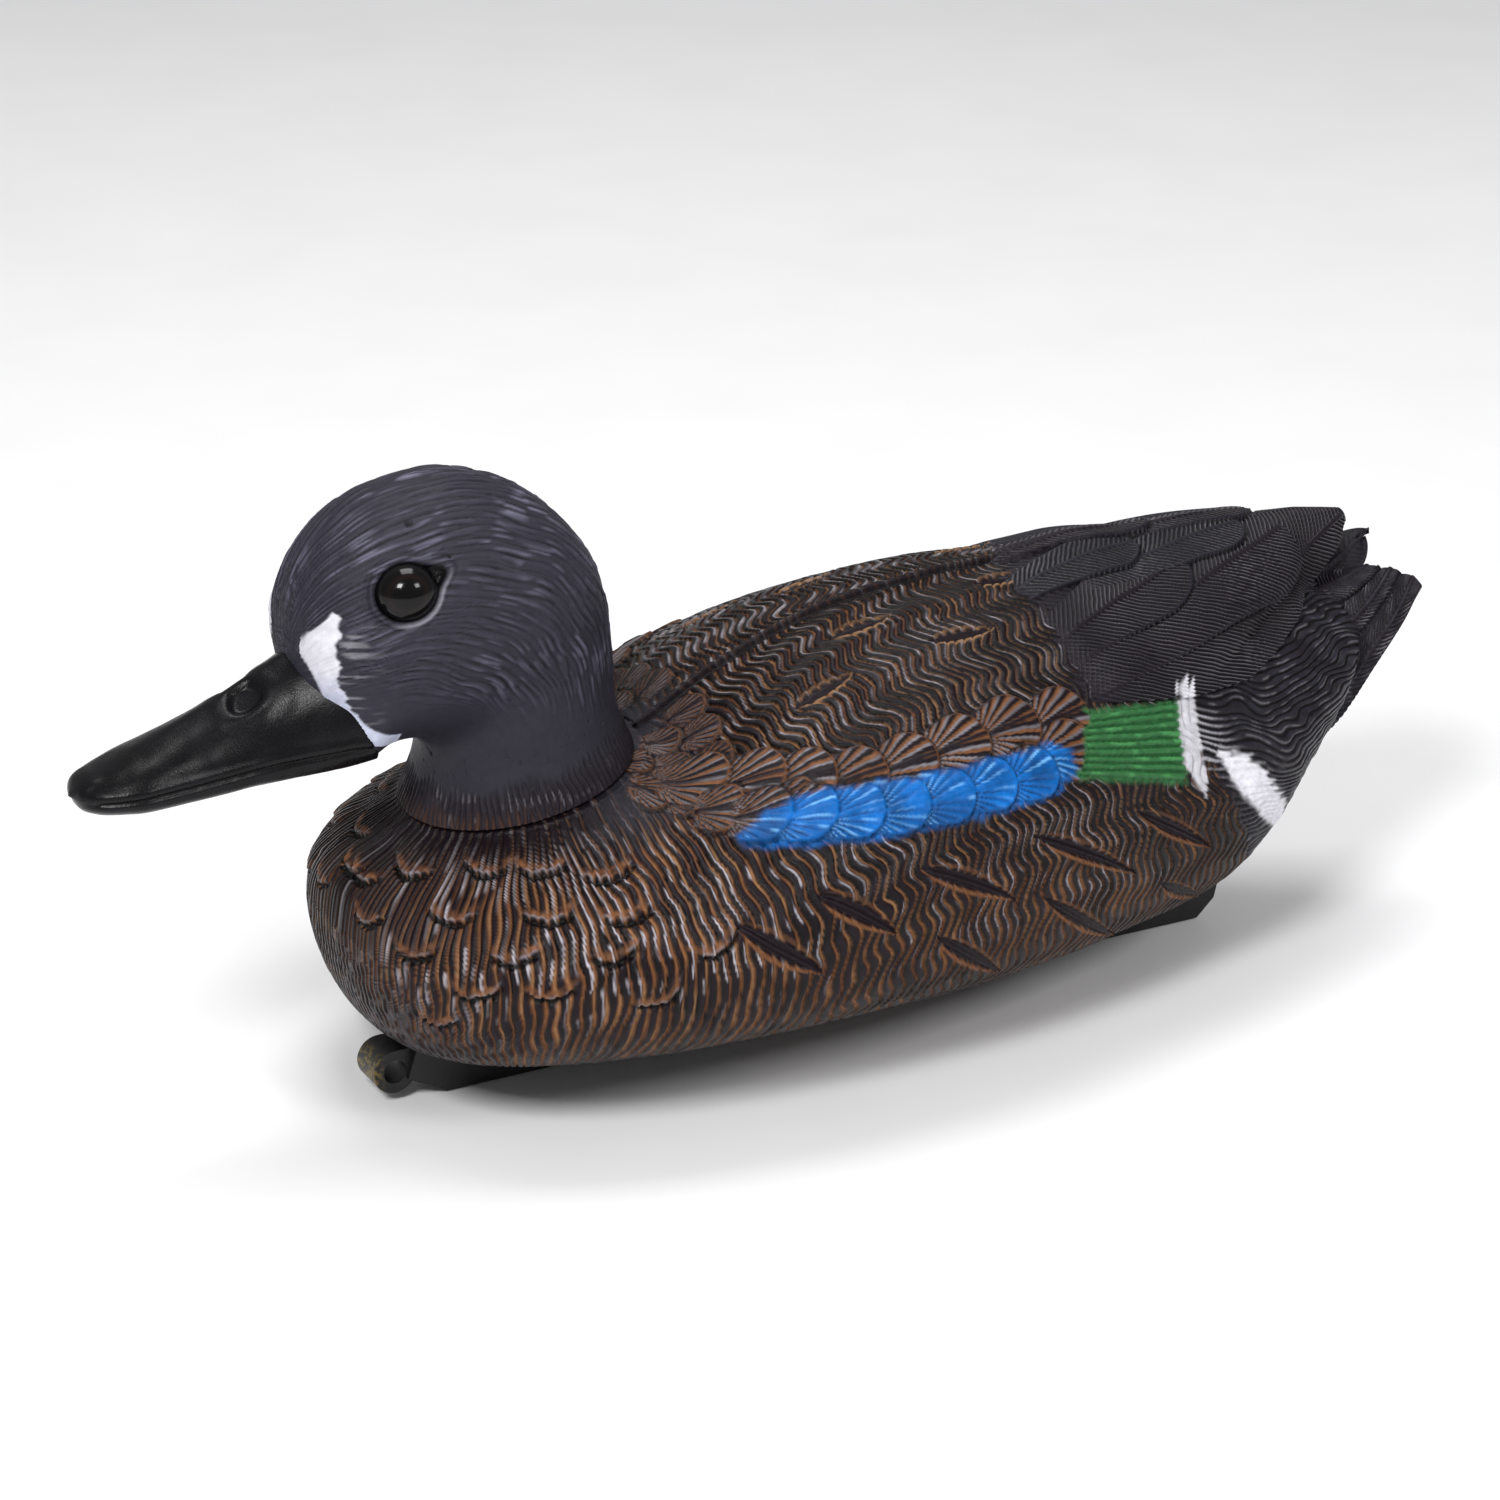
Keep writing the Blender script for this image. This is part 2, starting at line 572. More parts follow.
def body_lines(s):
    """The wavy carved lines over breast, back and flanks, with their dark and orange-brown paint."""
    x, t = s.x, s.t
    # Distance round the breast from its middle, then straight back along the flank.
    dx = x - SEAM[0]
    along = np.where(dx < 0, BREAST_TURN_R * np.arctan2(np.abs(s.y), -dx), BREAST_TURN_R * math.pi / 2 + dx)
    low = step(60, 95, t)
    ahead = 1 - step(-60, -30, x)
    lean = (0.30 - 0.22 * low) * (1 - ahead) + 0.06 * ahead
    lean = lean * step(-75, 5, x)
    wave = np.sin(2 * math.pi * (t / 11.5 + 0.022 * x + 0.25 * noise(31, x / 22, t / 22 + s.side)))
    jag = noise(32, along / 5, t / 2.6 + s.side * 5)
    swing = (1.55 * wave + 0.55 * jag) * (0.2 + 0.8 * step(-32, 4, x)) * (1 - 0.45 * low)
    drift = 2.6 * noise(33, x / 30, t / 30 + s.side * 3) + 0.45 * noise(34, x / 3.5, t / 5 + s.side)
    phase = (along - lean * (t - 60) + swing + drift * 0.6) / LINE_PITCH
    keep = np.where(ahead > 0.5, step(27, 35, s.rho), 1.0)

    def carve(shift, width):
        """Lines, every second one left out close to the neck."""
        return strokes(phase + shift, width) * keep + strokes((phase + shift) / 2, width / 2) * (1 - keep)

    groove = carve(0, 0.20 + 0.03 * noise(35, x / 6, t / 6) + 0.04 * step(-30, -50, x))
    belly = 1 - step(s.full[:, None] / 2 - 16, s.full[:, None] / 2 - 6, t) * step(-96, -84, x)
    s.h += -0.75 * groove * (0.15 + 0.85 * belly) + 0.12 * noise(36, phase, t / 3.2)
    s.c[:] = DARK
    # Paint catches the grooves in orange-brown; it spreads over the ridges on the breast and low flank.
    patchy = 0.5 + 0.5 * noise(37, x / 7, t / 7 + s.side)
    streak = 0.5 + 0.5 * noise(38, phase * 1.3, t / 7)
    wide = carve(0, 0.28)
    thread = carve(0, 0.14)
    breast = (1 - step(-46, -18, x)) * step(32, 44, s.rho)
    upper = (1 - low) * (1 - breast)
    s.paint(BLACK, carve(-0.2, 0.17) * 0.95)
    s.paint(BARK, np.clip(thread * (0.55 + 0.4 * patchy - 0.25 * upper) * belly, 0, 1))
    s.paint(BARK, np.clip(wide * breast * (1.6 * patchy * streak - 0.1) * belly, 0, 0.95))
    s.paint(BARK, np.clip(wide * step(74, 92, t) * (1.5 * patchy * streak) * belly, 0, 0.8))
    s.paint(TAN, np.clip(thread * step(0.35, 0.8, streak) * (0.75 - 0.3 * upper) * belly, 0, 1))
    facing = step(30, 48, s.z) * (1 - step(62, 70, s.z) * breast)
    bright = step(-0.15, 0.45, noise(39, phase * 1.1, t / 3.6) + 0.5 * noise(30, x / 16, t / 13 + s.side))
    s.paint(GLEAM, carve(0.27, 0.13) * bright * (0.16 + 0.74 * facing) * (0.6 + 0.4 * breast) * belly)
    lower = step(-0.2, 0.7, noise(29, phase * 1.4, t / 2.2))
    s.paint(BLACK, (1 - wide) * lower * 0.6)
    s.r[:] = 0.10 * groove + 0.12 * low


def feather_rows(s):
    """Shoulder feathers, coverts and the blue row, rear ones first."""
    for tip, angle in [((-20, 9), 0.35), ((-21, 18), 0.4), ((-23, 27.5), 0.45), ((-28, 13), 0.45),
                       ((-30, 22.5), 0.5), ((-32, 32), 0.5), ((-37, 18), 0.6), ((-38, 28), 0.6)]:
        feather(s, tip, angle, 9.5, 4.9, 0.45, 1.2, DARK, BARK * 0.8, BARK * 0.6, fan=5.4, glint=0.2)
    for x, t, angle in [(53.5, 46.5, -0.28), (52.5, 55.5, -0.1), (40, 47.5, -0.22), (26.5, 50.0, -0.12),
                        (13.5, 51.5, 0.02), (2, 50.5, 0.15), (-8, 46, 0.32), (-17, 40, 0.5),
                        (-26, 31.5, 0.6)]:
        feather(s, (x, t), angle, 16.5, 7.0, 0.85, 1.3, DARK, BARK, BARK, fan=5.2)
    for x, t, angle in [(40, 58.5, -0.1), (-22, 46.5, 0.55), (-14, 50, 0.45), (-27, 40.5, 0.6)]:
        feather(s, (x, t), angle, 12, 5.6, 0.55, 1.3, DARK, BARK, BARK, fan=5.2)
    for x, t, angle in [(40.5, 61.5, -0.16), (29.5, 62.5, -0.1), (19, 63.0, -0.02), (8.5, 62, 0.1),
                        (-1.5, 59.5, 0.22), (-11, 55.5, 0.38), (-19.5, 50.5, 0.55)]:
        feather(s, (x, t - 2.2), angle, 14, 5.8, 0.8, 1.3, DARK, BARK * 0.7, None, fan=5.0)


def airbrush(s):
    """Blue patch, green panel, white bar and white flank patch."""
    x, t = s.x, s.t
    wild = noise(41, x / 1.2, t / 1.2) * 0.7 + noise(42, x / 3.1, t / 3.1) * 0.9
    top = np.interp(x, [-32, -24, -17, -8, 0, 8, 19, 30, 41, 46],
                    [46, 45.5, 46.5, 50.5, 53.2, 55.2, 56.2, 55.8, 54.6, 57])
    low = np.interp(x, [-32, -28, -20, -11, 0, 13, 26, 38, 46], [48, 51.5, 57, 61.5, 65, 67, 67, 65.5, 61])
    inner = np.minimum(np.minimum(t - top, low - t), np.minimum(x + 31, 45.5 - x))
    blue = step(-1.1, 1.3, inner + wild * 0.55)
    shade = 0.8 + 0.35 * noise(43, x / 5, t / 5)
    s.paint(BLUE * np.clip(shade, 0.55, 1.2)[..., None], blue * 0.95)
    s.paint(BLUE * 0.22, blue * s.cutmark * 0.8)
    s.paint(BLUE_CREST, blue * s.gleam * step(-0.3, 0.5, noise(40, x / 3, t / 3)) * 0.6)
    s.r -= 0.08 * blue
    # Green panel: straight ridges along the wing.
    upper = np.interp(x, [44, 80], [49.0, 46.2])
    lower = np.interp(x, [44, 80], [62.0, 63.8])
    f = (t - upper) / (lower - upper)
    left = np.interp(f, [0, 1], [53.5, 46.0]) + 0.9 * noise(44, f * 9 + 0.5)
    right = np.interp(f, [0, 0.3, 1], [79.0, 77.5, 75.5]) + 0.5 * noise(45, t / 1.5)
    fill = np.minimum(np.minimum(x - left, right - x), np.minimum(t - upper, lower - t))
    panel = step(-0.4, 0.4, fill)
    ridge = strokes(f * 9.0 + 0.12 * noise(46, x / 5, t), 0.27)
    s.h += (0.55 - 0.75 * ridge - s.h) * panel
    s.h += 0.10 * panel * noise(52, x / 1.4, t / 0.8)
    green = step(-1.6, 0.2, fill + wild * 0.4)
    s.paint(GREEN * 0.72, green * 0.97)
    s.paint(GREEN_GROOVE, green * ridge * 0.55 * panel)
    s.paint(GREEN_CREST, panel * step(0.2, 0.8, noise(47, x / 2.5, f * 18)) * (1 - ridge) * 0.35)
    # White bar behind it, ragged at both edges.
    centre = np.interp(t, [44, 52, 60, 66], [81.8, 79.8, 78.6, 80.8])
    width = np.interp(t, [43, 46, 54, 60, 64, 67], [1.0, 2.4, 2.9, 2.8, 1.6, 0.3])
    bar = step(-0.5, 0.5, width - np.abs(x - centre) + wild * 0.4) * (t > 43) * (t < 67.5)
    s.paint(WHITE * 0.62, bar * 0.95)
    s.h += 0.15 * bar
    # White patch running down towards the rump, broken along the ridges.
    ax, at, bx, bt = 87.0, 57.5, 113.0, 75.0
    length = math.hypot(bx - ax, bt - at)
    ux, ut = (bx - ax) / length, (bt - at) / length
    a = (x - ax) * ux + (t - at) * ut
    b = -(x - ax) * ut + (t - at) * ux
    half = np.interp(a, [0, 5, 14, 24, length], [0.8, 4.2, 4.5, 3.9, 2.0])
    comb = 1.6 * np.sin(2 * math.pi * (t + 0.3 * x) / 2.3) * (b < 0)
    patch = step(-1.4, 1.1, half - np.abs(b) + wild * 0.7 + comb * 0.35) * (a > -1) * (a < length + 2)
    s.paint(WHITE * 0.9, patch ** 1.5 * 0.96)
    line = strokes(s.strand / STRAND_PITCH + 0.4, 0.2)
    reach = 1 - step(4, 15, x - 81 + 0.4 * np.abs(t - 57))
    reach = reach * step(80.5, 82, x) * step(46, 49, t) * (1 - step(58, 63, t))
    s.paint(WHITE * 0.7, line * reach * 0.5)


def rump_strands(s):
    """Long wavy strands over the rump and under the tail."""
    x, t = s.x, s.t
    s.strand = (t + 0.42 * (x - 90) * step(86, 110, x) * step(58, 76, t)
                + 0.55 * (x - 104) * step(98, 126, x) * (1 - step(52, 68, t))
                + 0.5 * np.sin(x / 2.9 + 1.5 * noise(51, x / 9, t / 7 + s.side))
                + 1.2 * noise(53, x / 6, t / 4 + s.side))
    edge = 82 + 0.62 * np.clip(t - 56, 0, 60) + 1.5 * noise(54, t / 2, x / 9)
    rear = np.maximum(step(-1.2, 1.2, x - edge) * (t > 20), step(104, 108, x) * (t < 40))
    line = strokes(s.strand / STRAND_PITCH, 0.24)
    s.h += (-0.40 * line + 0.18 * noise(55, x / 3, t / 2) - s.h) * rear
    s.paint(CHARCOAL, rear)
    s.paint(BLACK, rear * line * 0.85)
    s.paint(SLATE, rear * (1 - line) * np.clip(0.3 + 0.4 * noise(56, x / 5, t / 2), 0, 1))
    gleam = strokes(s.strand / STRAND_PITCH + 0.3, 0.15) * step(-0.1, 0.6, noise(57, x / 2.6, t / 2.6))
    s.paint(GLEAM, rear * gleam * 0.15)


def body_skin(material):
    """The trunk: breast, back, flanks and rump, with all their carving and paint."""
    s = loft(TRUNK, BREAST_TIP, TAIL_END, FINE, int(168 / FINE), bias=1.3)
    # The trunk flares up to meet the neck seam.
    rel = s.p - SEAM
    level = rel @ AXIS
    s.rho = np.linalg.norm(rel - level[..., None] * AXIS, axis=-1)
    seat_z = SEAM[2] + (s.x - SEAM[0]) * math.tan(TILT) - 0.25
    fall = np.clip(s.rho - COLLAR_R, 0, None)
    flare = seat_z - 0.62 * fall - 0.012 * fall ** 2
    upper = s.t < s.full[:, None] * 0.25
    soft = 3.0
    gap = np.clip(0.5 + 0.5 * (flare - s.z) / soft, 0, 1)
    raised = s.z * (1 - gap) + flare * gap + soft * gap * (1 - gap) * step(COLLAR_R, COLLAR_R + 3, s.rho)
    raised = np.where(s.rho < COLLAR_R + 0.5, seat_z, np.where(flare > s.z - soft, raised, s.z))
    s.p[..., 2] = np.where(upper & (s.rho < 62), raised, s.z)
    s.z = s.p[..., 2]
    s.n = grid_normals(s.p)
    body_lines(s)
    quiet = (1 - step(27, 45, s.rho)) * step(-66, -44, s.x)
    s.h *= 1 - 0.75 * quiet
    s.paint(SLATE * 0.62, quiet * 0.92)
    front = (1 - step(27, 35, s.rho)) * (1 - step(-66, -44, s.x))
    s.paint(DARK * 0.8, front * 0.7)
    for centre in SCALLOPS:
        scallop(s, centre, 6.4, 0.6)
    rump_strands(s)
    before = s.h.copy()
    feather_rows(s)
    s.cutmark = np.clip(-(s.h - 0.45) * 2.2, 0, 1) * (np.abs(s.h - before) > 1e-6)
    airbrush(s)
    for start, end in FLANK_SLOTS:
        a = (start[0], chart_spot(s, *start))
        b = (end[0], chart_spot(s, *end))
        slot(s, a, b, 2.2, 0.9, BARK)
    for start, end in BACK_SLOTS:
        slot(s, start, end, 2.0, 0.8, TAN)
    # The right half of the back overlaps the left along the middle seam.
    across = s.y + 1.0 + 0.35 * noise(61, s.x / 6)
    lobe = step(-35.0, -33.2, s.x - 0.02 * across ** 2)
    rise = step(-0.35, 0.35, across) * (1 - step(14, 30, s.t)) * lobe * (1 - step(70, 95, s.x))
    top = s.t < s.full[:, None] * 0.25
    calm = 1 - (1 - step(0.2, 1.6, np.abs(across))) * lobe * top
    s.h *= calm
    s.h += 1.2 * rise * top
    shadow = (1 - step(0.15, 0.6, np.abs(across + 0.5))) * lobe * top * (1 - step(60, 80, s.x))
    s.h -= 0.5 * shadow
    s.paint(DARK, (1 - step(0.3, 1.0, np.abs(across))) * lobe * top * 0.85)
    s.paint(BLACK, shadow * 0.8)
    # Flat under the collar, at both ends and over the keel.
    s.h *= (s.rho > COLLAR_R + 0.4)
    ends = step(0, 3, np.arange(len(s.x)) * FINE) * step(0, 3, np.arange(len(s.x))[::-1] * FINE)
    s.h *= ends[:, None]
    keel_room = step(s.full[:, None] / 2 - 10, s.full[:, None] / 2 - 13, s.t)
    s.h = np.where(s.h > 0, s.h * keel_room, s.h)
    return closed_grid("body_skin", s, material)


# ---- wing ----

def wing_edge_z(x):
    """Height of the plate's lower edge."""
    return np.interp(x, [46, 60, 84, 101, 110, 123.6, 134, 141, 147],
                     [77, 74.5, 70.5, 70.2, 72.4, 77, 81, 84.5, 89])


def blur(values, axis, size):
    """Running mean along one axis, ends held."""
    pad = [(size // 2, size // 2) if k == axis else (0, 0) for k in range(values.ndim)]
    total = np.cumsum(np.pad(values, pad, mode="edge"), axis=axis)
    total = np.insert(total, 0, 0, axis=axis)
    upper = np.take(total, np.arange(size, total.shape[axis]), axis=axis)
    return (upper - np.take(total, np.arange(total.shape[axis] - size), axis=axis)) / size


def radial_table(skin, psi, crest_only):
    """Distance from the plate's hub line to the skin in each direction, row by row."""
    half = skin.x.shape[1] // 2
    table = np.zeros((len(skin.x), len(psi)))
    for k in range(len(skin.x)):
        y, z = -skin.y[k, :half], skin.z[k, :half]
        if crest_only:
            y, z = y[:int(np.argmax(y)) + 1], z[:int(np.argmax(y)) + 1]
        bearing, far = np.arctan2(y, z - PLATE_HUB_Z), np.hypot(y, z - PLATE_HUB_Z)
        order = np.argsort(bearing)
        table[k] = np.interp(psi, bearing[order], far[order])
        if crest_only:
            table[k] *= psi <= bearing.max()
    return skin.x[:, 0], table


def cut_at(y, z, floor_z):
    """The line (y, z) from the ridge down to the height floor_z, evenly re-spaced."""
    below = int(np.argmax(z < floor_z))
    share = below - 1 + (z[below - 1] - floor_z) / (z[below - 1] - z[below])
    take = np.linspace(0, share, 500)
    index = np.arange(len(z))
    return np.interp(take, index, y), np.interp(take, index, z)


def wing_plate(trunk, form, material):
    """The folded wings as one carved plate over the back: tertials and primaries over the rump."""
    spacing = FINE * 0.75
    rows, half_cols = int((PLATE_END - PLATE_START) / spacing), int(64 / spacing)
    xs = np.linspace(PLATE_START, PLATE_END, rows)
    psi = np.linspace(0, math.pi * 0.62, 500)
    u = np.linspace(0, 1, 500)
    top = np.zeros((rows, 2 * half_cols + 1, 3))
    spread = np.zeros(top.shape[:2])
    # The plate lies on whichever stands further out, the trunk or the wings' own form.
    radii = 0
    for (known, table), offset in (
            (radial_table(trunk, psi, False), np.interp(xs, [46, 54, 60, 72], [-1.5, -0.3, 0.6, 1.2])),
            (radial_table(form, psi, True), np.full(rows, 1.2))):
        out = np.stack([np.interp(xs, known, table[:, k]) for k in range(len(psi))], 1)
        outside = (xs < known[0]) | (xs > known[-1] + 1.5)
        out = np.where(outside[:, None], 0, out)
        radii = np.maximum(radii, np.where(out > 0, out + offset[:, None], 0))
    radii = blur(blur(radii, 0, 7), 1, 13)
    for i, x in enumerate(xs):
        low = wing_edge_z(x)
        ys, zs = cut_at(radii[i] * np.sin(psi), PLATE_HUB_Z + radii[i] * np.cos(psi), low)
        if x > PLATE_POINTED_FROM:
            fade = step(122, 134, x)
            half = max(np.interp(x, [122, 135, 142, 147.6], [17.0, 9.6, 6.3, 0.7]), 0.4)
            crown = np.interp(x, [122, 135, 147.6], [94.6, 93.6, 91.6])
            ys = ys * (1 - fade) + half * u * fade
            zs = zs * (1 - fade) + (crown - (crown - low) * u ** 1.9) * fade
        arc = np.concatenate([[0], np.cumsum(np.hypot(np.diff(ys), np.diff(zs)))])
        want = np.linspace(0, arc[-1], half_cols + 1)
        ys, zs = np.interp(want, arc, ys), np.interp(want, arc, zs)
        top[i, :, 0] = x
        top[i, :, 1] = np.concatenate([-ys[::-1], ys[1:]])
        top[i, :, 2] = np.concatenate([zs[::-1], zs[1:]])
        spread[i] = np.concatenate([want[::-1], want[1:]])
    n = patch_normals(top)
    n *= np.sign(n[..., 2].mean())
    s = Skin(top, n, spread, np.where(top[..., 1] > 0, 1.0, -1.0))
    wing_relief(s)
    ends = [PLATE_START, PLATE_START + 8, 100, 130, PLATE_END]
    thick = np.interp(xs, ends, [0.4, 2.2, 2.6, 2.0, 0.7])[:, None]
    thick = thick * (1 - 0.25 * np.abs(np.linspace(-1, 1, top.shape[1]))[None] ** 4)
    return slab("wing_plate", s, top - n * thick[..., None], material)


def slab(name, s, inner, material):
    """A plate from its top skin and its inner grid, closed all round by a rim."""
    rows, cols = s.x.shape
    outer = s.p + s.n * s.h[..., None]
    verts = np.concatenate([outer.reshape(-1, 3), inner.reshape(-1, 3)])
    count = rows * cols
    i, j = np.meshgrid(np.arange(rows - 1), np.arange(cols - 1), indexing="ij")
    a, b, c, d = i * cols + j, i * cols + j + 1, (i + 1) * cols + j + 1, (i + 1) * cols + j
    upper = np.stack([a, b, c, d], -1).reshape(-1, 4)
    lower = upper[:, ::-1] + count
    loop = np.concatenate([np.arange(cols), np.arange(1, rows) * cols + cols - 1,
                           (rows - 1) * cols + np.arange(cols - 2, -1, -1),
                           np.arange(rows - 2, 0, -1) * cols])
    nxt = np.roll(loop, -1)
    rim = np.stack([nxt, loop, loop + count, nxt + count], -1)
    quads = np.concatenate([upper, lower, rim])
    uu, vv = np.tile(np.linspace(0, 1, cols), rows), np.repeat(np.linspace(0, 1, rows), cols)
    uv = np.concatenate([np.stack([uu * 0.66, vv], -1), np.stack([0.68 + uu * 0.30, vv], -1)])[quads.ravel()]
    colour = np.concatenate([s.c.reshape(-1, 3), np.tile(CHARCOAL * 0.9, (count, 1))])
    rough = np.concatenate([s.r.ravel(), np.full(count, 0.05)])
    return finish_mesh(name, verts, quads.ravel(), np.arange(len(quads)) * 4, uv, colour, rough, material)


def wing_relief(s):
    """Feathers of the folded wing: lower primaries first, then tertials towards the ridge."""
    s.c[:] = CHARCOAL
    base = strokes((s.x * 0.5 - s.t) / 1.5 + 0.3 * noise(71, s.x / 6, s.t / 6), 0.3)
    s.h -= 0.3 * base
    s.paint(SLATE, (1 - base) * 0.25)
    s.r[:] = 0.02
    tint, grey = CHARCOAL, SLATE * 0.6
    laid = [
        # tip x, tip t, angle, bend, length, half width, lift, colour, sharpness
        (147.6, 0.5, -0.60, -0.0014, 104, 17.0, 0.5, tint, 2.4),
        (126.5, 6.0, -0.46, -0.0006, 80, 12.5, 1.2, tint * 1.1, 1.1),
        (95.0, 13.0, -0.42, -0.0004, 46, 9.0, 1.6, tint, 1.5),
        (116.0, 4.0, -0.22, 0.0, 52, 6.5, 1.9, grey, 1.6),
        (87.5, 5.5, -0.22, 0.0, 38, 6.0, 2.1, grey, 1.5),
        (121.0, -1.0, -0.05, 0.0, 48, 3.6, 2.4, tint, 1.4),
        (95.0, -1.0, -0.05, 0.0, 46, 3.4, 2.9, tint * 1.2, 1.4),
    ]
    for x, t, angle, bend, length, width, lift, colour, sharp in laid:
        feather(s, (x, t), angle, length, width, lift, 1.5, colour, WING_LINE, grey, sharp=sharp, edge=1.2,
                bend=bend, depth=0.55, glint=0.24)
    front = 1 - step(50, 57, s.x + 1.5 * noise(76, s.t / 4))
    s.h *= 1 - 0.6 * front
    splash = step(-0.8, 0.8, 2.0 - np.hypot((s.x - 82.0) * 0.85, (s.t - 45.6) * 0.7)
                  + 1.6 * noise(73, s.x / 0.9 + s.t / 2, s.t / 5))
    s.paint(WHITE * 0.9, splash * 0.85)


def wing_core(material):
    """The lump of the folded wings inside the plate, seen only from below its edge."""
    s = loft(WING_CORE, None, WING_CORE_TIP, FINE * 1.6, int(60 / FINE))
    line = strokes((s.t + 1.2 * np.sin(s.x / 5)) / 1.8 + 0.3 * noise(75, s.x / 6, s.t / 4), 0.28)
    s.h -= 0.35 * line
    s.c[:] = CHARCOAL * 0.8
    s.paint(BLACK, line * 0.6)
    s.r[:] = 0.05
    return closed_grid("wing_core", s, material)


# ---- tail ----

def tail_spike(material):
    """The ragged middle feather: a carved slab from root to tip, rolled about its length."""
    root, tip, half = np.array([133.0, 0, 71]), np.array([156.2, 0, 85.6]), 5.6
    roll = math.radians(35)
    ahead = unit(tip - root)
    flat = unit(np.cross(np.array([0, 0, 1.0]), ahead))
    up = np.cross(ahead, flat)
    wide, out = flat * math.cos(roll) + up * math.sin(roll), up * math.cos(roll) - flat * math.sin(roll)
    length = float(np.linalg.norm(tip - root))
    u, v = np.meshgrid(np.linspace(0, 1, int(length / 0.5)), np.linspace(-1, 1, int(2 * half / 0.42)),
                       indexing="ij")
    shape = np.sqrt(np.clip(1 - np.clip((u - 0.72) / 0.28, 0, 1) ** 2.2, 0, 1))
    shape = np.maximum(shape * (0.62 + 0.38 * step(0, 0.5, u)), 0.04)
    u = u * (1 - 0.16 * step(0.4, 1, u) * (0.5 + 0.5 * noise(81, v * 2.6)))
    shape = np.maximum(shape * (1 - 0.35 * step(0.6, 1, u)), 0.05)
    a, b = u * length, v * half * shape
    off = np.abs(b)
    dome = 1.4 * (1 - v ** 2)
    p = root + ahead * a[..., None] + wide * b[..., None] + out * dome[..., None]
    n = patch_normals(p)
    n *= np.sign((n @ out).mean())
    s = Skin(p, n, off, np.ones(b.shape))
    edge = (1 - np.abs(v)) * half * shape
    cut = strokes((a - off * 1.1) / 1.5 + 0.25 * noise(82, a / 3, b / 3), 0.3)
    cut = cut * step(0.3, 0.9, off) * step(0.1, 0.7, edge)
    s.h += -0.35 * cut + 0.35 * (1 - step(0.3, 0.75, off))
    s.c[:] = CHARCOAL * 1.15
    s.paint(BLACK, cut * 0.7)
    s.paint(SLATE, (1 - cut) * (0.25 + 0.25 * noise(83, a / 2, b / 2)) * (1 - 0.5 * u))
    s.r[:] = 0.04
    body = 2.2 * (1 - 0.45 * u) * (0.55 + 0.45 * (1 - v ** 4))
    return slab("tail_spike", s, p - n * body[..., None], material)


def along_line(points, at):
    """Smooth points along a polyline at shares of its length."""
    points = np.array(points, float)
    reach = np.concatenate([[0], np.cumsum(np.linalg.norm(np.diff(points, axis=0), axis=1))])
    return np.stack([pchip(reach / reach[-1], points[:, k], at) for k in range(3)], -1)


